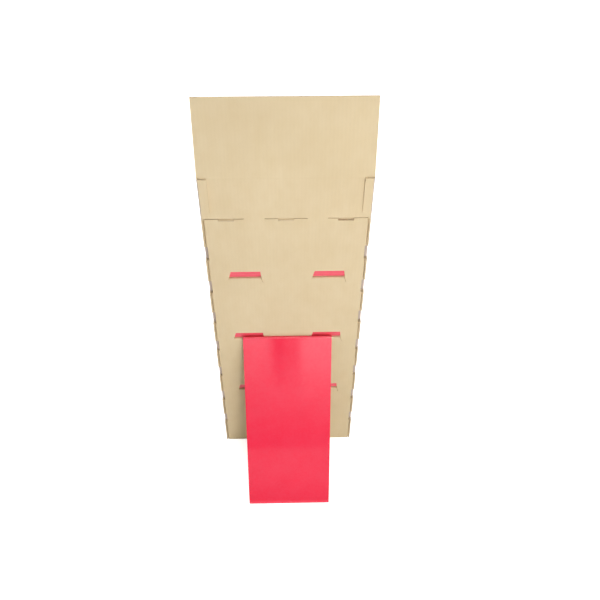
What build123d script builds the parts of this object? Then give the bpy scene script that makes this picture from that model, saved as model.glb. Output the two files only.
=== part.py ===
from build123d import *
import os
from math import cos, radians, sin, tan

# Cardboard floor display stand, die-cut and folded from corrugated board.
# Millimetres, +Z up. The front faces -Y and the back panel faces +Y. The origin is on the floor, in the
# middle of the rectangle that the body's front and the leg's foot take up.

# Board and its folds
board = 3.0              # single-wall board, B flute
bend_inside = 0.4        # inside radius of a crease
fold_gap = 0.4           # between two leaves of one sheet that lie on each other
seat_gap = 0.1           # between two pieces that are glued or rest on each other
knife_cut = 0.8          # width of a die-cut line
overrun = 2.0            # how far a cutting solid passes the face that it cuts

# Body: back panel and double side walls
body_width = 300.0
body_depth = 150.0
fold_line_z = 750.0      # cut crease between the back panel and the header
wall_front_z = 790.0     # top of the side walls at the front
wall_front_round = 14.0
ear_height = 95.0        # of the walls' ears above the fold line, beside the header
ear_depth = 34.0         # length of the ear's level top edge
ear_round = 30.0

# Header
header_width = 300.0
header_length = 143.6    # of the part above the ears
header_lean = 12.9       # degrees forward
header_bend = 8.0        # inside radius of its soft bend
flap_width = 16.5        # glue flap of an ear, seen on the header's back
flap_chamfer_width = 14.0
flap_chamfer_height = 17.0

# Fold line: knife slits with two bridges between them, and a slot in the middle of each slit
centre_slit_half = 38.0
side_slit_start = 74.0
slot_width = 28.0
slot_offset = 106.0      # from the middle to each side slot
slot_clearance = 2.5     # of a slot's height over the board
slit_height = 1.6

# Shelves
shelf_pitch = 188.0
shelf_count = 3
base_level = 28.5        # underside of the base tray's floor
tray_clearance = 0.8     # beside a tray, inside the body
rear_clearance = 0.3     # behind a tray
tray_inset = 2.0         # of a tray's front lip, behind the walls' front edge
front_lip = 38.0
rear_lip = 32.0
side_lip = 26.0
corner_flap = 18.0       # glue flap of a side lip, at the front or rear lip
top_tab_width = 27.0
short_tab_back = 7.0     # the top shelf's third tab stops this far inside the back panel

# Support tabs, cut out of a panel on three sides and folded in under a shelf
tab_height = 22.5
tab_root_width = 64.0
tab_tip_width = 56.0
tab_tip_shift = 1.5      # of the tip, towards the hinge's end with the nick
tab_offset = 79.5        # from the middle to each tab in the back panel
side_tab_depth = 92.0    # from the back panel to the middle of each tab in a side wall
nick_length = 10.0       # relief cut below one end of a tab's hinge
nick_splay = 15.0        # degrees

# Lock tabs of the outer wall leaves, in slots along the back corners
lock_count = 7
lock_length = 35.0
lock_rise = 69.5         # from a shelf's underside to the middle of the slot above it
lock_clearance = 0.5
lock_recess = 3.0        # of a tab, behind the back panel's inner face
lock_reach = 15.0        # of a tab, past the inner wall leaf

# Easel leg and its brace
leg_width = 184.0
leg_crease_z = 420.0     # where the centre lines of the leg and of its flap meet
leg_slant = 22.0         # degrees
leg_flap = 62.0          # glue flap, from the crease down
brace_z = 112.0
brace_width = 112.0
brace_flap = 30.0

# Places that follow from the sizes above
half_board = board / 2
half_width = body_width / 2
bend = bend_inside + half_board
hairpin = (board + fold_gap) / 2
slope = radians(leg_slant)
leg_reach = seat_gap + half_board + leg_crease_z * tan(slope) + half_board / cos(slope)
back_y = (body_depth - leg_reach) / 2
front_y = back_y - body_depth
back_inner_y = back_y - board
outer_leaf_x = half_width - half_board
inner_leaf_x = outer_leaf_x - board - fold_gap
inside_half = inner_leaf_x - half_board
split_x = inside_half + board + fold_gap / 2   # between the two leaves of a side wall
lock_line_y = back_inner_y - lock_recess - half_board
ear_top_z = fold_line_z + ear_height
slot_height = board + slot_clearance
top_level = fold_line_z - slot_height + seat_gap
tray_half = inside_half - tray_clearance
hem_half = tray_half - half_board - corner_flap - fold_gap   # of a front lip's inner leaf
tray_front_y = front_y + tray_inset
tray_rear_y = back_inner_y - rear_clearance


def strip(points, radii):
    """Section of folded board with its centre line on the points."""
    return trace(FilletPolyline(*points, radius=radii), line_width=board)


def block(low, high):
    """Box between two corners."""
    size = Vector(*high) - Vector(*low)
    return Pos(*low) * Box(size.X, size.Y, size.Z, align=(Align.MIN, Align.MIN, Align.MIN))


def across(section, width):
    """Prism of a section drawn in Y and Z, centred on X = 0."""
    return extrude(Plane.YZ * section, amount=width / 2, both=True)


def along(section, low_y, high_y):
    """Prism of a section drawn in X and Z, between two places on Y."""
    middle = Plane.XZ.offset(-(low_y + high_y) / 2)
    return extrude(middle * section, amount=(high_y - low_y) / 2, both=True)


def both_sides(solid):
    """A solid and its mirror image on the other side of the stand."""
    return [solid, mirror(solid, about=Plane.YZ)]


def tab_outline(margin):
    """Trapezoid of a support tab, hinge on the X axis, narrowed by a margin at each end."""
    root = tab_root_width / 2 - margin
    tip = tab_tip_width / 2 - margin
    tip_corners = [(tip - tab_tip_shift, tab_height), (-tip - tab_tip_shift, tab_height)]
    return make_face(Polyline((-root, 0), (root, 0), *tip_corners, close=True))


def tab_opening():
    """Cutters for a support tab's opening and its relief nick, in the tab's own frame.

    The frame lies on the panel's inner face, X along the hinge and Y out through the panel.
    """
    depth = overrun + board + fold_gap / 2
    start = Plane.XZ.offset(overrun)
    opening = extrude(start * tab_outline(0), amount=-depth)
    nick = Pos(0, 0, -nick_length / 2) * Box(knife_cut, depth, nick_length)
    end = Pos((knife_cut - tab_root_width) / 2, depth / 2 - overrun, 0) * Rot(0, nick_splay, 0)
    return [opening, end * nick]


def tab_flap():
    """Support tab folded in about its hinge, in the same frame."""
    plate = extrude(Pos(0, 0, board) * Rot(180, 0, 0) * tab_outline(knife_cut), amount=board)
    arc = RadiusArc((board, 0), (0, board), -board)
    corner = make_face(Line((0, 0), (board, 0)) + arc + Line((0, board), (0, 0)))
    return plate + across(corner, tab_root_width - 2 * knife_cut)


def tab_frames():
    """Frames of every support tab: two in the back panel per shelf, one in each side wall."""
    frames = []
    levels = [base_level + shelf_pitch * (number + 1) for number in range(shelf_count)]
    for level in levels:
        hinge_z = level - seat_gap - board
        frames += [Pos(side * tab_offset, back_inner_y, hinge_z) for side in (-1, 1)]
    for level in levels + [top_level]:
        hinge_z = level - seat_gap - board
        for side in (-1, 1):
            place = Pos(side * inside_half, back_inner_y - side_tab_depth, hinge_z)
            frames.append(place * Rot(0, 0, -90 * side))
    return frames


def body_walls():
    """Back panel and double side walls as one folded strip, cut to the walls' side outline."""
    back_line = back_y - half_board
    front_line = front_y + half_board
    plan = [(outer_leaf_x, back_y), (outer_leaf_x, front_line)]
    plan += [(inner_leaf_x, front_line), (inner_leaf_x, back_line)]
    plan += [(-x, y) for x, y in reversed(plan)]
    walls = extrude(strip(plan, [hairpin, hairpin, bend, bend, hairpin, hairpin]), amount=ear_top_z)

    outline = Polyline(
        (front_y, 0),
        (back_y, 0),
        (back_y, ear_top_z),
        (back_y - ear_depth, ear_top_z),
        (front_y, wall_front_z),
        close=True,
    )
    profile = make_face(outline)
    top_corner = profile.vertices().sort_by_distance((back_y - ear_depth, ear_top_z))[0]
    profile = fillet(top_corner, ear_round)
    front_corner = profile.vertices().sort_by_distance((front_y, wall_front_z))[0]
    profile = fillet(front_corner, wall_front_round)
    return walls & across(profile, body_width + overrun)


def header_panel():
    """Header from the fold line up, narrowed between the ears and leaning forward above them."""
    middle_y = back_y - half_board
    lean = radians(header_lean)
    top = (middle_y - header_length * sin(lean), ear_top_z + header_length * cos(lean))
    section = strip([(middle_y, fold_line_z), (middle_y, ear_top_z), top], header_bend + half_board)
    panel = across(section, header_width)
    neck_half = inside_half + board
    side = block(
        (neck_half, back_inner_y - board, fold_line_z - overrun),
        (half_width + overrun, back_y + board, ear_top_z + fold_gap),
    )
    return panel - both_sides(side)


def ear_flap():
    """Rear end of an ear, folded round the header's edge onto its back."""
    flap_y = back_y + fold_gap + half_board
    inner_x = half_width - flap_width
    plan = [(outer_leaf_x, back_y - ear_depth / 2), (outer_leaf_x, flap_y), (inner_x, flap_y)]
    low_z = fold_line_z + knife_cut
    flap = Pos(0, 0, low_z) * extrude(strip(plan, bend), amount=ear_top_z - low_z)
    chamfer = make_face(
        Polyline(
            (inner_x - overrun, low_z - overrun),
            (inner_x - overrun, low_z + flap_chamfer_height),
            (inner_x, low_z + flap_chamfer_height),
            (inner_x + flap_chamfer_width, low_z),
            (inner_x + flap_chamfer_width, low_z - overrun),
            close=True,
        )
    )
    return flap - along(chamfer, back_y, back_y + board + fold_gap + overrun)


def fold_line_cuts():
    """Three knife slits across the back panel's top edge, each with a slot below it."""
    low_y = back_inner_y - fold_gap / 2
    high_y = back_y + overrun
    slit_top = fold_line_z + slit_height
    spans = [(-centre_slit_half, centre_slit_half), (side_slit_start, split_x), (-split_x, -side_slit_start)]
    slits = [block((low_x, low_y, fold_line_z), (high_x, high_y, slit_top)) for low_x, high_x in spans]
    slots = []
    for middle in (-slot_offset, 0, slot_offset):
        low = (middle - slot_width / 2, low_y, fold_line_z - slot_height)
        high = (middle + slot_width / 2, high_y, slit_top)
        slots.append(block(low, high))
    return slits + slots


def lock_slot(middle_z):
    """Cutters for a lock tab: its slot through the corner, and the outer leaf's edge where the tab bends."""
    low_z = middle_z - lock_length / 2
    high_z = middle_z + lock_length / 2
    slot_front_y = lock_line_y - half_board - lock_clearance
    slot = block((inside_half - overrun, slot_front_y, low_z), (split_x, back_inner_y, high_z))
    corner = block((inside_half, slot_front_y, low_z), (split_x, back_y + overrun, high_z))
    edge = block((split_x, lock_line_y - bend, low_z), (half_width + overrun, back_y + overrun, high_z))
    return [slot, corner, edge]


def lock_tab(middle_z):
    """Lock tab, folded from the outer leaf's rear edge through its slot, in front of the back panel."""
    plan = [(outer_leaf_x, lock_line_y - lock_reach), (outer_leaf_x, lock_line_y)]
    plan.append((inside_half - lock_reach, lock_line_y))
    height = lock_length - 2 * lock_clearance
    return Pos(0, 0, middle_z - height / 2) * extrude(strip(plan, bend), amount=height)


def body_wrap():
    """Back panel, header and side walls: one sheet."""
    walls = body_walls()
    low = (-split_x, back_inner_y - fold_gap, fold_line_z)
    walls -= block(low, (split_x, back_y + overrun, ear_top_z + overrun))
    walls += [header_panel()] + both_sides(ear_flap())
    cuts = fold_line_cuts()
    lock_places = [base_level + lock_rise + number * shelf_pitch / 2 for number in range(lock_count)]
    for middle_z in lock_places:
        for cutter in lock_slot(middle_z):
            cuts += both_sides(cutter)
    for frame in tab_frames():
        cuts += [frame * cutter for cutter in tab_opening()]
    walls -= cuts
    folded = [frame * tab_flap() for frame in tab_frames()]
    for middle_z in lock_places:
        folded += both_sides(lock_tab(middle_z))
    return walls + folded


def side_lip_part(level, rear_y, hem_y, rear_flap):
    """Side lip of a tray at +X with its corner glue flaps, and the bend that joins it to the floor.

    The front flap stands beside the end of the front lip's inner leaf.
    """
    lip_x = tray_half - half_board
    flap_front_y = hem_y - half_board
    flap_rear_y = rear_y - fold_gap - half_board
    plan = [(lip_x, flap_front_y), (lip_x - corner_flap, flap_front_y)]
    if rear_flap:
        plan = [(lip_x - corner_flap, flap_rear_y), (lip_x, flap_rear_y)] + plan
    else:
        plan = [(lip_x, rear_y)] + plan
    low_z = level + board + fold_gap
    upright = Pos(0, 0, low_z) * extrude(strip(plan, bend), amount=side_lip - board - fold_gap)
    middle_z = level + half_board
    fold = strip([(lip_x - corner_flap / 2, middle_z), (lip_x, middle_z), (lip_x, low_z + half_board)], bend)
    inset = board + bend_inside
    return upright + along(fold, hem_y + inset, flap_rear_y - inset)


def side_lip_room(level, rear_y, hem_y):
    """Cutters at +X that free the floor's edge for the side lip's bend, and the outer leaf for the flap."""
    room = board + bend_inside
    low = (tray_half - room, hem_y, level - overrun)
    edge = block(low, (tray_half + overrun, rear_y, level + board + fold_gap / 2))
    low = (hem_half, tray_front_y + board, level + board + fold_gap / 2)
    return [edge, block(low, (tray_half + overrun, hem_y + overrun, level + front_lip + overrun))]


def front_hem(level, lip_top):
    """Centre-line points of a doubled front lip, from its inner end down to the floor's bend."""
    outer_y = tray_front_y + half_board
    inner_y = outer_y + board + fold_gap
    crest = lip_top - half_board
    inner_end = (inner_y, level + board + fold_gap)
    return [inner_end, (inner_y, crest), (outer_y, crest), (outer_y, level + half_board)]


def shelf(level):
    """Tray with a doubled front lip, a rear lip and two side lips, folded from one sheet."""
    middle_z = level + half_board
    rear_line = tray_rear_y - half_board
    points = front_hem(level, level + front_lip) + [(rear_line, middle_z), (rear_line, level + rear_lip)]
    tray = across(strip(points, [hairpin, hairpin, bend, bend]), 2 * tray_half)
    hem_y = tray_front_y + 2 * board + fold_gap
    rear_y = tray_rear_y - board
    for cutter in side_lip_room(level, rear_y, hem_y):
        tray -= both_sides(cutter)
    return tray + both_sides(side_lip_part(level, rear_y, hem_y, rear_flap=True))


def top_shelf():
    """Top tray, held at the back by three tabs in the slots of the fold line."""
    level = top_level
    points = front_hem(level, level + front_lip) + [(tray_rear_y, level + half_board)]
    tray = across(strip(points, [hairpin, hairpin, bend]), 2 * tray_half)
    hem_y = tray_front_y + 2 * board + fold_gap
    for cutter in side_lip_room(level, tray_rear_y + overrun, hem_y):
        tray -= both_sides(cutter)
    tray += both_sides(side_lip_part(level, tray_rear_y, hem_y, rear_flap=False))
    ends = [(-slot_offset, back_inner_y - short_tab_back), (0, back_y), (slot_offset, back_y)]
    root_y = tray_rear_y - short_tab_back - board
    for middle, end_y in ends:
        low = (middle - top_tab_width / 2, root_y, level)
        tray += block(low, (middle + top_tab_width / 2, end_y, level + board))
    return tray


def base_tray():
    """Bottom tray: raised floor on folded skirts, with a doubled kick panel at the front."""
    middle_z = base_level + half_board
    crest = base_level + front_lip - half_board
    outer_y = tray_front_y + half_board
    inner_y = outer_y + board + fold_gap
    rear_line = tray_rear_y - half_board
    points = [(outer_y, 0), (outer_y, crest), (inner_y, crest), (inner_y, middle_z)]
    points += [(rear_line, middle_z), (rear_line, 0)]
    tray = across(strip(points, [hairpin, hairpin, bend, bend]), 2 * tray_half)
    hem_y = inner_y + half_board
    rear_y = rear_line - half_board
    room = board + bend_inside
    edge = block(
        (tray_half - room, hem_y, base_level - overrun),
        (tray_half + overrun, rear_y, base_level + board + overrun),
    )
    tray -= both_sides(edge)
    lip_x = tray_half - half_board
    skirt = strip([(lip_x - corner_flap, middle_z), (lip_x, middle_z), (lip_x, 0)], bend)
    return tray + both_sides(along(skirt, hem_y + fold_gap, rear_y - fold_gap))


def leg_line_y(z):
    """Y of the leg's centre line at a height."""
    return back_y + seat_gap + half_board + (leg_crease_z - z) * tan(slope)


def easel_leg():
    """Leg panel and its glue flap, which is folded down against the back panel."""
    flap_y = back_y + seat_gap + half_board
    points = [(flap_y, leg_crease_z - leg_flap), (flap_y, leg_crease_z), (leg_line_y(-board), -board)]
    leg = across(strip(points, bend), leg_width)
    below = block((-leg_width, back_y, -2 * board), (leg_width, back_y + 2 * leg_reach, 0))
    return leg - below


def leg_brace():
    """Strip that spans from the back panel to the leg, with a glue flap at each end."""
    back_line = back_y + seat_gap + half_board
    offset = (board + seat_gap) / cos(slope)
    leg_end = leg_line_y(brace_z) - offset
    low_z = brace_z - brace_flap * cos(slope)
    points = [
        (back_line, brace_z + brace_flap),
        (back_line, brace_z),
        (leg_end, brace_z),
        (leg_line_y(low_z) - offset, low_z),
    ]
    return across(strip(points, bend), brace_width)


pieces = {
    "body_wrap": body_wrap(),
    "base_tray": base_tray(),
    "lower_shelf": shelf(base_level + shelf_pitch),
    "middle_shelf": shelf(base_level + 2 * shelf_pitch),
    "upper_shelf": shelf(base_level + 3 * shelf_pitch),
    "top_shelf": top_shelf(),
    "easel_leg": easel_leg(),
    "leg_brace": leg_brace(),
}

os.makedirs("parts", exist_ok=True)
for name, piece in pieces.items():
    export_step(piece, f"parts/{name}.step")
    print(name, "solids:", len(piece.solids()))
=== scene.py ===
import math

import bmesh
import bpy
from mathutils import Matrix, Vector
from mathutils.bvhtree import BVHTree


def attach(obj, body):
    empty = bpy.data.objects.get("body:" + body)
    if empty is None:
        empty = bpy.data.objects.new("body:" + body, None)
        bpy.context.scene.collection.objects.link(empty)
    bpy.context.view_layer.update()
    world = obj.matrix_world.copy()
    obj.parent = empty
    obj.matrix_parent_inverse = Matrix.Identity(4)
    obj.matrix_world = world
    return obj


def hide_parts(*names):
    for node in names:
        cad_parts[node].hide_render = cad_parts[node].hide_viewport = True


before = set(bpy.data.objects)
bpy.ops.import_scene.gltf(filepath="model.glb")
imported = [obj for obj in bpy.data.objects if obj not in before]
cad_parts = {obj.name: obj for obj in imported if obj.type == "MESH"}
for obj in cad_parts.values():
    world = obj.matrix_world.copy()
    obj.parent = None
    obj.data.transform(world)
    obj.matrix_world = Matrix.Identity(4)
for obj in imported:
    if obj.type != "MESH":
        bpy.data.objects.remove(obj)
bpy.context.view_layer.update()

# Sizes of the board and its folds, in metres
BOARD = 0.003
FLUTE = 0.0064
THICKNESS_SLACK = 0.0004
STEP_IN = 2e-5
SAME_POINT = 1e-6
FOLD_STRIP = 0.004
FOLD_LINE_Z = 0.75

# Angles between neighbouring faces
FLUSH = math.radians(0.5)
BEND = 0.08
SMOOTH = math.radians(50)

# How far a face's normal reaches along an axis that it faces
SLANTING = 0.1
LEANING = 0.5
ROUGHLY = 0.7
FACING = 0.8
SQUARELY = 0.9

# Share of a group's area that makes it a side of the board
MOST = 0.6

# Slots of each piece's materials
KRAFT_SIDE, PRINT_SIDE, EDGE = 0, 1, 2

# Camera, from the photograph's perspective
IMAGE = 600
FOCAL_PX = 824.7
SENSOR_MM = 36.0
CLIP_START = 0.01
CAMERA_AT = Vector((0.00417, 1.03264, 1.77084))
CAMERA_PITCH = math.radians(49.970)
CAMERA_YAW = math.radians(1.638)
CAMERA_ROLL = math.radians(-0.535)

scene = bpy.context.scene
scene.view_settings.view_transform = "Standard"


def link(obj):
    scene.collection.objects.link(obj)
    return obj


def make_camera():
    forward = Vector((
        -math.sin(CAMERA_YAW) * math.cos(CAMERA_PITCH),
        -math.cos(CAMERA_YAW) * math.cos(CAMERA_PITCH),
        -math.sin(CAMERA_PITCH),
    ))
    across = Vector((-math.cos(CAMERA_YAW), math.sin(CAMERA_YAW), 0))
    down = forward.cross(across)
    right = math.cos(CAMERA_ROLL) * across + math.sin(CAMERA_ROLL) * down
    down = -math.sin(CAMERA_ROLL) * across + math.cos(CAMERA_ROLL) * down
    data = bpy.data.cameras.new("camera")
    data.sensor_width = SENSOR_MM
    data.lens = FOCAL_PX / IMAGE * SENSOR_MM
    data.clip_start = CLIP_START
    camera = link(bpy.data.objects.new("camera", data))
    axes = Matrix((right, -down, -forward)).transposed()
    camera.matrix_world = Matrix.Translation(CAMERA_AT) @ axes.to_4x4()
    scene.camera = camera


# Colours

def linear(*levels):
    """Linear colour of 0-255 display levels, by the sRGB curve."""
    out = []
    for level in levels:
        c = level / 255
        out.append(c / 12.92 if c <= 0.04045 else ((c + 0.055) / 1.055) ** 2.4)
    return (*out, 1.0)


KRAFT = linear(225, 204, 164)
KRAFT_DARK = linear(209, 185, 142)
KRAFT_LIGHT = linear(230, 211, 175)
# Painted shade for the hollow gaps between the flutes on cut edges
FLUTE_PAINTED_SHADE = linear(206, 186, 156)
RED = linear(255, 53, 83)
RED_DEEP = linear(255, 43, 76)
# Pale red for worn specks and for the folds, where it is cracked print and also a painted highlight
RED_WEAR_AND_HIGHLIGHT = linear(255, 150, 160)
TRAY_RED = linear(250, 92, 110)
TRAY_RED_DEEP = linear(248, 86, 105)
GREY = linear(196, 176, 164)
GREY_DEEP = linear(190, 170, 158)
# Pale grey for worn specks and for the folds, where it is cracked print and also a painted highlight
GREY_WEAR_AND_HIGHLIGHT = linear(214, 196, 172)
FLOOR_GREY = (0.9, 0.9, 0.9, 1)
WORLD_GREY = (0.8, 0.8, 0.8, 1)
WHITE = (1, 1, 1, 1)


# Materials

class Shader:
    """Builds one material's nodes."""

    def __init__(self, name):
        self.material = bpy.data.materials.new(name)
        self.material.use_nodes = True
        self.tree = self.material.node_tree
        self.tree.nodes.clear()
        self.out = self.tree.nodes.new("ShaderNodeOutputMaterial")
        self.bsdf = self.tree.nodes.new("ShaderNodeBsdfPrincipled")
        self.wire(self.bsdf.outputs[0], self.out.inputs["Surface"])

    def wire(self, value, socket):
        """Links a node's output to the socket, or sets a plain number or colour on it."""
        if isinstance(value, bpy.types.NodeSocket):
            self.tree.links.new(value, socket)
        else:
            socket.default_value = value

    def look(self, socket_name, value):
        self.wire(value, self.bsdf.inputs[socket_name])

    def node(self, kind, **settings):
        made = self.tree.nodes.new(kind)
        for key, value in settings.items():
            setattr(made, key, value)
        return made

    def math(self, operation, *values):
        made = self.node("ShaderNodeMath", operation=operation)
        for value, socket in zip(values, made.inputs):
            self.wire(value, socket)
        return made.outputs[0]

    def attribute(self, name):
        return self.node("ShaderNodeAttribute", attribute_name=name).outputs["Fac"]

    def place(self, stretch=(1, 1, 1)):
        """Object position, stretched."""
        mapping = self.node("ShaderNodeMapping")
        self.wire(self.node("ShaderNodeTexCoord").outputs["Object"], mapping.inputs["Vector"])
        self.wire(stretch, mapping.inputs["Scale"])
        return mapping.outputs[0]

    def noise(self, scale, detail, stretch=(1, 1, 1), rough=0.5):
        made = self.node("ShaderNodeTexNoise")
        self.wire(self.place(stretch), made.inputs["Vector"])
        self.wire(scale, made.inputs["Scale"])
        self.wire(detail, made.inputs["Detail"])
        self.wire(rough, made.inputs["Roughness"])
        return made.outputs["Fac"]

    def ramp(self, value, low, high, to=(0.0, 1.0)):
        """Value stretched from low-high to the two ends of to, and held there outside."""
        made = self.node("ShaderNodeMapRange", clamp=True)
        self.wire(value, made.inputs["Value"])
        self.wire(low, made.inputs["From Min"])
        self.wire(high, made.inputs["From Max"])
        self.wire(to[0], made.inputs["To Min"])
        self.wire(to[1], made.inputs["To Max"])
        return made.outputs["Result"]

    def mix(self, factor, a, b):
        made = self.node("ShaderNodeMix", data_type="RGBA")
        self.wire(factor, made.inputs["Factor"])
        self.wire(a, made.inputs["A"])
        self.wire(b, made.inputs["B"])
        return made.outputs["Result"]

    def scaled(self, colour, factor):
        """Colour times a grey value."""
        made = self.node("ShaderNodeVectorMath", operation="SCALE")
        self.wire(colour, made.inputs[0])
        self.wire(factor, made.inputs["Scale"])
        return made.outputs[0]

    def flute_wave(self):
        """Sine across the flutes, from -1 to 1."""
        return self.math("SINE", self.math("MULTIPLY", self.attribute("flute"), 2 * math.pi / FLUTE))

    def bump(self, height, strength, distance):
        made = self.node("ShaderNodeBump")
        self.wire(strength, made.inputs["Strength"])
        self.wire(distance, made.inputs["Distance"])
        self.wire(height, made.inputs["Height"])
        self.look("Normal", made.outputs[0])


def kraft_material():
    """Unprinted kraft liner: fibres, and the flutes showing through as faint lines, made by a bump and by
    a painted shade in the colour.
    """
    s = Shader("kraft_liner")
    patch = s.noise(scale=9, detail=2)
    fibre = s.noise(scale=900, detail=4, stretch=(1, 1, 0.25), rough=0.7)
    cloud = s.noise(scale=60, detail=3, stretch=(1, 1, 0.5))
    line_strength = s.ramp(s.noise(scale=14, detail=2, stretch=(1, 1, 0.3)), 0.3, 0.7, to=(0.35, 1.0))
    lines = s.math("MULTIPLY", s.flute_wave(), line_strength)
    # Painted shade: the colour is made a little darker and lighter along the flutes, for the shading of
    # the washboarded liner.
    shade = s.math("MULTIPLY_ADD", lines, 0.008, 1.0)
    colour = s.mix(s.ramp(cloud, 0.3, 0.7, to=(0.0, 0.6)), KRAFT, KRAFT_LIGHT)
    colour = s.mix(s.ramp(patch, 0.35, 0.75, to=(0.0, 0.25)), colour, KRAFT_DARK)
    colour = s.mix(s.ramp(fibre, 0.58, 0.8, to=(0.0, 0.35)), colour, KRAFT_DARK)
    s.look("Base Color", s.scaled(colour, shade))
    s.look("Roughness", s.ramp(fibre, 0.3, 0.7, to=(0.72, 0.88)))
    s.look("Specular IOR Level", 0.3)
    height = s.math("ADD", s.math("MULTIPLY", lines, 0.4), s.math("MULTIPLY", fibre, 0.5))
    s.bump(height, strength=0.35, distance=0.0001)
    return s.material


def print_material(name, base, deep, wear_and_highlight, rough, specular, coat, coat_rough, wave_height):
    """Printed liner under a film, a little washboarded by the flutes, and cracked along its folds, where
    it is paler, which is also a painted highlight on the folds' crests.
    """
    s = Shader(name)
    fold = s.attribute("fold")
    cloud = s.noise(scale=22, detail=3)
    speck = s.noise(scale=1400, detail=2)
    mottle = s.math("MULTIPLY", s.math("ADD", cloud, s.noise(scale=170, detail=3)), 0.5)
    colour = s.mix(s.ramp(mottle, 0.4, 0.62), base, deep)
    colour = s.mix(s.ramp(speck, 0.68, 0.82, to=(0.0, 0.25)), colour, wear_and_highlight)
    # Paler along the folds: cracked print, and also a painted highlight that lightens the crests of the
    # folds.
    fold_cracks_and_highlight = s.ramp(s.noise(scale=700, detail=4, rough=0.8), 0.5, 0.62, to=(0.15, 0.4))
    colour = s.mix(s.math("MULTIPLY", fold, fold_cracks_and_highlight), colour, wear_and_highlight)
    s.look("Base Color", colour)
    s.look("Roughness", s.ramp(s.noise(scale=90, detail=4), 0.35, 0.75, to=(rough, rough + 0.08)))
    s.look("Specular IOR Level", specular)
    s.look("Coat Weight", s.math("MULTIPLY_ADD", fold, -0.5 * coat, coat))
    s.look("Coat Roughness", coat_rough)
    height = s.math("ADD", s.math("MULTIPLY", s.flute_wave(), wave_height), s.math("MULTIPLY", cloud, 0.4))
    s.bump(height, strength=0.2, distance=0.0002)
    return s.material


def edge_material():
    """Cut edge of the board: two liners with the fluted sheet between them, and a painted shade in the
    hollow gaps between the flutes.
    """
    s = Shader("cut_edge")
    ply = s.attribute("ply")
    end_on = s.attribute("end_on")
    flute_centre = s.math("MULTIPLY_ADD", s.flute_wave(), 0.38, 0.5)
    from_flute = s.math("ABSOLUTE", s.math("SUBTRACT", ply, flute_centre))
    flute_end = s.ramp(from_flute, 0.06, 0.13, to=(1.0, 0.0))
    flute_side = s.ramp(s.noise(scale=260, detail=3), 0.35, 0.65, to=(0.15, 0.75))
    ends = s.math("MULTIPLY", flute_end, end_on)
    sides = s.math("MULTIPLY", flute_side, s.math("SUBTRACT", 1.0, end_on))
    from_middle = s.math("ABSOLUTE", s.math("SUBTRACT", ply, 0.5))
    liner = s.ramp(from_middle, 0.37, 0.42)
    solid = s.math("MAXIMUM", s.math("ADD", ends, sides), liner)
    fibre = s.noise(scale=1500, detail=3)
    paper = s.mix(s.ramp(fibre, 0.35, 0.7), KRAFT, KRAFT_DARK)
    # Painted shade: the gaps between the flutes take the darker colour, and on cuts along the flutes it is
    # mixed in by a noise.
    s.look("Base Color", s.mix(solid, FLUTE_PAINTED_SHADE, paper))
    s.look("Roughness", 0.9)
    s.look("Specular IOR Level", 0.2)
    s.bump(s.math("ADD", solid, s.math("MULTIPLY", fibre, 0.3)), strength=0.6, distance=0.0005)
    return s.material


# Telling the board's two sides and its cut edges apart

def thin_faces(bm):
    """Faces that have just the board's thickness behind them."""
    tree = BVHTree.FromBMesh(bm)
    thin = set()
    for face in bm.faces:
        start = face.calc_center_median() - face.normal * STEP_IN
        place, _, _, distance = tree.ray_cast(start, -face.normal)
        if place is not None and abs(distance - BOARD) < THICKNESS_SLACK:
            thin.add(face)
    return thin


def smooth_groups(bm, thin):
    """Faces grouped across edges that aren't sharp.

    A face with the board's thickness behind it only joins one without where they are flush.
    """
    seen = set()
    for seed in bm.faces:
        if seed in seen:
            continue
        seen.add(seed)
        group = [seed]
        for face in group:
            for edge in face.edges:
                angle = edge.calc_face_angle(0)
                if angle < SMOOTH:
                    fresh = [
                        other for other in edge.link_faces
                        if other not in seen and (angle < FLUSH or (other in thin) == (face in thin))
                    ]
                    seen.update(fresh)
                    group.extend(fresh)
        yield group


def is_liner(group, thin):
    """True where the board's thickness lies under most of the group."""
    area = sum(face.calc_area() for face in group)
    return sum(face.calc_area() for face in group if face in thin) > MOST * area


def face_kinds(bm, printed):
    """Sorts the faces into kraft side, printed side and cut edges."""
    thin = thin_faces(bm)
    kinds = {}
    for group in smooth_groups(bm, thin):
        kind = EDGE
        if is_liner(group, thin):
            votes = sum(printed(face.normal) * face.calc_area() for face in group)
            kind = PRINT_SIDE if votes > 0 else KRAFT_SIDE
        for face in group:
            kinds[face] = kind
    return kinds


def is_glue_flap(face):
    """True on the outer face of the flaps behind the header, which shows bare kraft in the photograph."""
    return face.normal.y > SQUARELY and face.calc_center_median().z > FOLD_LINE_Z


def is_fold(face):
    """True on the narrow strips that make up a fold's bend."""
    width = 2 * face.calc_area() / max(edge.calc_length() for edge in face.edges)
    return width < FOLD_STRIP and any(BEND < edge.calc_face_angle(0) < SMOOTH for edge in face.edges)


def across_flutes(face):
    """Axis that runs across the flutes: Y on a side wall, and X elsewhere."""
    return 1 if abs(face.normal.x) > ROUGHLY else 0


def mark_corners(bm, kinds):
    """Gives each face its material, and each of its corners what the materials need to know.

    flute is the place across the flutes, ply is 1 on the printed side of a cut edge and 0 on the kraft
    side, end_on is 1 where a cut runs across the flutes, and fold is 1 on a bend.
    """
    layers = {name: bm.loops.layers.float.new(name) for name in ("flute", "ply", "end_on", "fold")}
    for face in bm.faces:
        kind = kinds[face]
        if kind == PRINT_SIDE and is_glue_flap(face):
            kind = KRAFT_SIDE
        face.material_index = kind
        end_on = kind == EDGE and abs(face.normal.z) > ROUGHLY
        fold = kind != EDGE and is_fold(face)
        across = across_flutes(face)
        for loop in face.loops:
            sides = [other for other in loop.vert.link_faces if kinds[other] != EDGE]
            if end_on and sides:
                across = across_flutes(sides[0])
            loop[layers["flute"]] = loop.vert.co[across]
            loop[layers["ply"]] = float(bool(sides) and kinds[sides[0]] == PRINT_SIDE)
            loop[layers["end_on"]] = float(end_on)
            loop[layers["fold"]] = float(fold)


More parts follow.
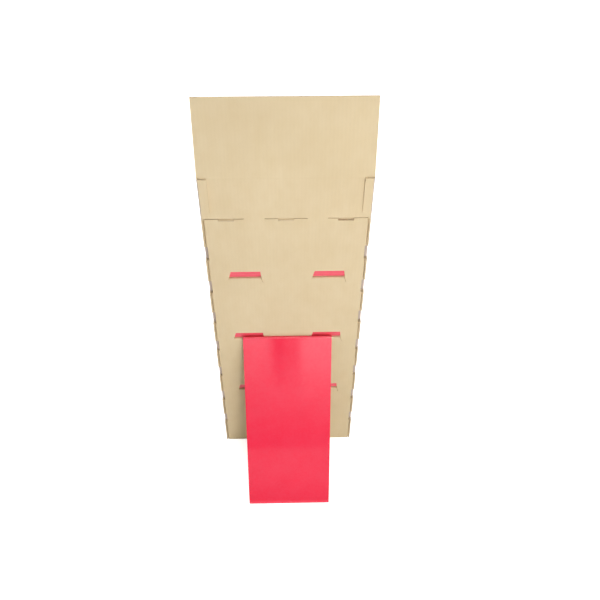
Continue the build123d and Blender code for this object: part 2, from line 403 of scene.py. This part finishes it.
def dress(node, finish, printed):
    """Copy of a CAD node with the board's two sides and its cut edges told apart.

    printed(normal) is 1 where a face with that normal is likely printed, -1 where it's likely kraft, and
    0 where it could be either.
    """
    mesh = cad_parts[node].data.copy()
    mesh.name = f"{node}_board"
    mesh.materials.clear()
    for material in (kraft, finish, cut_edge):
        mesh.materials.append(material)
    bm = bmesh.new()
    bm.from_mesh(mesh)
    bmesh.ops.remove_doubles(bm, verts=bm.verts, dist=SAME_POINT)
    bm.normal_update()
    mark_corners(bm, face_kinds(bm, printed))
    bm.to_mesh(mesh)
    bm.free()
    mesh.shade_flat()
    piece = link(bpy.data.objects.new(mesh.name, mesh))
    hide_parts(node)
    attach(piece, "root")


def vote(is_print, is_kraft):
    return 1 if is_print else -1 if is_kraft else 0


def front_or_under(normal):
    return vote(min(normal.y, normal.z) < -FACING, max(normal.y, normal.z) > FACING)


def underside(normal):
    return vote(normal.z < -FACING, normal.z > FACING)


def top_side(normal):
    return -underside(normal)


def outward(normal):
    return vote(
        normal.y > LEANING and normal.z > SLANTING,
        normal.y < -LEANING and normal.z < -SLANTING,
    )


def neither(normal):
    return -1


make_camera()
kraft = kraft_material()
cut_edge = edge_material()
grey_print = print_material(
    "grey_print", GREY, GREY_DEEP, GREY_WEAR_AND_HIGHLIGHT,
    rough=0.5, specular=0.4, coat=0.25, coat_rough=0.3, wave_height=0.4,
)
tray_print = print_material(
    "tray_print", TRAY_RED, TRAY_RED_DEEP, RED_WEAR_AND_HIGHLIGHT,
    rough=0.45, specular=0.3, coat=0.4, coat_rough=0.25, wave_height=0.4,
)
leg_print = print_material(
    "leg_print", RED, RED_DEEP, RED_WEAR_AND_HIGHLIGHT,
    rough=0.5, specular=0.0, coat=1.0, coat_rough=0.09, wave_height=0.25,
)

dress("body_wrap", grey_print, front_or_under)
dress("base_tray", tray_print, top_side)
for shelf in ("lower_shelf", "middle_shelf", "upper_shelf", "top_shelf"):
    dress(shelf, tray_print, underside)
dress("easel_leg", leg_print, outward)
dress("leg_brace", tray_print, neither)


# Studio

def seen_rays(tree):
    """1 for the rays that show the background: the camera's, and those by way of gloss or glass."""
    rays = tree.nodes.new("ShaderNodeLightPath")
    seen = rays.outputs["Is Camera Ray"]
    for kind in ("Is Glossy Ray", "Is Transmission Ray"):
        either = tree.nodes.new("ShaderNodeMath")
        either.operation = "MAXIMUM"
        tree.links.new(seen, either.inputs[0])
        tree.links.new(rays.outputs[kind], either.inputs[1])
        seen = either.outputs[0]
    return seen


def staged(name, corners, material):
    mesh = bpy.data.meshes.new(name)
    mesh.from_pydata(corners, [], [tuple(range(len(corners)))])
    mesh.materials.append(material)
    sheet = link(bpy.data.objects.new(name, mesh))
    return sheet


def upright(x0, x1, y, z0, z1):
    return [(x0, y, z0), (x1, y, z0), (x1, y, z1), (x0, y, z1)]


def lying(x0, x1, y0, y1, z):
    return [(x0, y0, z), (x1, y0, z), (x1, y1, z), (x0, y1, z)]


def white_floor(half, glows, edges):
    """Floor that shows as white and keeps a faint shadow near the object.

    It glows by the first of glows inside the first of edges, in metres from the middle, and by the
    second outside the second.
    """
    s = Shader("floor")
    s.look("Base Color", FLOOR_GREY)
    s.look("Roughness", 0.9)
    s.look("Specular IOR Level", 0.0)
    away = s.node("ShaderNodeVectorMath", operation="LENGTH")
    s.wire(s.place(), away.inputs[0])
    strength = s.ramp(away.outputs["Value"], *edges, to=glows)
    glow = s.node("ShaderNodeEmission")
    s.wire(s.math("MULTIPLY", seen_rays(s.tree), strength), glow.inputs["Strength"])
    add = s.node("ShaderNodeAddShader")
    s.wire(s.bsdf.outputs[0], add.inputs[0])
    s.wire(glow.outputs[0], add.inputs[1])
    s.wire(add.outputs[0], s.out.inputs["Surface"])
    staged("floor", lying(-half, half, -half, half, 0), s.material)


def world_light(strength):
    """Soft grey light from all round, which shows as white."""
    world = bpy.data.worlds.new("world")
    scene.world = world
    world.use_nodes = True
    tree = world.node_tree
    tree.nodes.clear()
    mix = tree.nodes.new("ShaderNodeMixShader")
    tree.links.new(seen_rays(tree), mix.inputs[0])
    for place, colour, power in ((1, WORLD_GREY, strength), (2, WHITE, 1.0)):
        background = tree.nodes.new("ShaderNodeBackground")
        background.inputs["Color"].default_value = colour
        background.inputs["Strength"].default_value = power
        tree.links.new(background.outputs[0], mix.inputs[place])
    out = tree.nodes.new("ShaderNodeOutputWorld")
    tree.links.new(mix.outputs[0], out.inputs["Surface"])


def area_light(name, at, target, side, power):
    data = bpy.data.lights.new(name, "AREA")
    data.shape = "RECTANGLE"
    data.size = side
    data.size_y = side
    data.energy = power
    lamp = link(bpy.data.objects.new(name, data))
    lamp.location = at
    lamp.rotation_mode = "QUATERNION"
    lamp.rotation_quaternion = (Vector(at) - Vector(target)).to_track_quat("Z", "Y")


def card(name, corners, *fades):
    """Sheet of light that only the gloss of the print sees.

    Each fade is (axis, place from, place to, brightness from, brightness to); they multiply.
    """
    s = Shader(name)
    s.tree.nodes.remove(s.bsdf)
    place = s.node("ShaderNodeSeparateXYZ")
    s.wire(s.place(), place.inputs[0])
    brightness = 1.0
    for axis, start, end, low, high in fades:
        fade = s.ramp(place.outputs[axis], start, end, to=(low, high))
        brightness = s.math("MULTIPLY", fade, brightness)
    glow = s.node("ShaderNodeEmission")
    s.wire(brightness, glow.inputs["Strength"])
    s.wire(glow.outputs[0], s.out.inputs["Surface"])
    sheet = staged(name, corners, s.material)
    sheet.visible_camera = False
    sheet.visible_diffuse = False
    sheet.visible_shadow = False
    sheet.visible_transmission = False


# Lamps: watts, and sizes and places in metres. Left and right are those of the stand's front.
SMALL = 0.35
LARGE = 1.2
LOW_AIM = (0, 0, 0.45)
MID_AIM = (0, 0, 0.5)

white_floor(half=30.0, glows=(0.7, 1.0), edges=(1.2, 3.0))
world_light(strength=0.29)
area_light("key", (-0.3, 1.8, 1.0), LOW_AIM, SMALL, 13.0)
area_light("side_key", (-0.6, 1.0, 1.3), LOW_AIM, SMALL, 4.4)
area_light("overhead", (0, -0.2, 3.0), MID_AIM, LARGE, 19)
area_light("front_fill", (0.9, -1.8, 2.2), MID_AIM, LARGE, 28)
area_light("left_fill", (-2.2, -0.7, 1.3), MID_AIM, LARGE, 12)
area_light("right_fill", (2.2, -0.7, 1.3), MID_AIM, LARGE, 8)

# Sheets of light that paint the reflections in the leg's gloss: two lying behind it for the floor, and
# four upright bands beyond them.
# Left and right are the camera's, which looks at the stand's back, so left is towards +X.
FLOOR_START = 0.175
FLOOR_MIDDLE = 0.61
FLOOR_END = 1.4
SIDE = 1.3
BAND_TOP = 0.6
BAND_LEFT = 0.055
BAND_MIDDLE = 0.011
BAND_RIGHT = -0.053
NEAR_Z = 0.0005
FAR_Z = 0.001

# Dimmer towards the leg's foot: a painted shadow in the floor's reflection.
card("near_floor_reflection_light", lying(-SIDE, SIDE, FLOOR_START, FLOOR_MIDDLE, NEAR_Z), ("Y", 0.17, 0.4, 0.3, 0.75))
card(
    "far_floor_reflection_light", lying(-SIDE, SIDE, FLOOR_MIDDLE, FLOOR_END, FAR_Z),
    ("Y", FLOOR_MIDDLE, FLOOR_END, 0.12, 1.0), ("X", -0.25, 0.15, 1.6, 0.85),
)
for name, x0, x1, fade in (
    ("gloss_left", BAND_LEFT, SIDE, ("Z", 0, 0.21, 0.9, 2.2)),
    ("dark_band", BAND_MIDDLE, BAND_LEFT, ("Z", 0, 0.12, 0.8, 0.2)),
    ("dim_band", BAND_RIGHT, BAND_MIDDLE, ("Z", 0, 0.21, 0.95, 0.75)),
    ("gloss_right", -SIDE, BAND_RIGHT, ("Z", 0, 0.21, 1.4, 3.0)),
):
    card(name, upright(x0, x1, FLOOR_END, 0, BAND_TOP), fade)
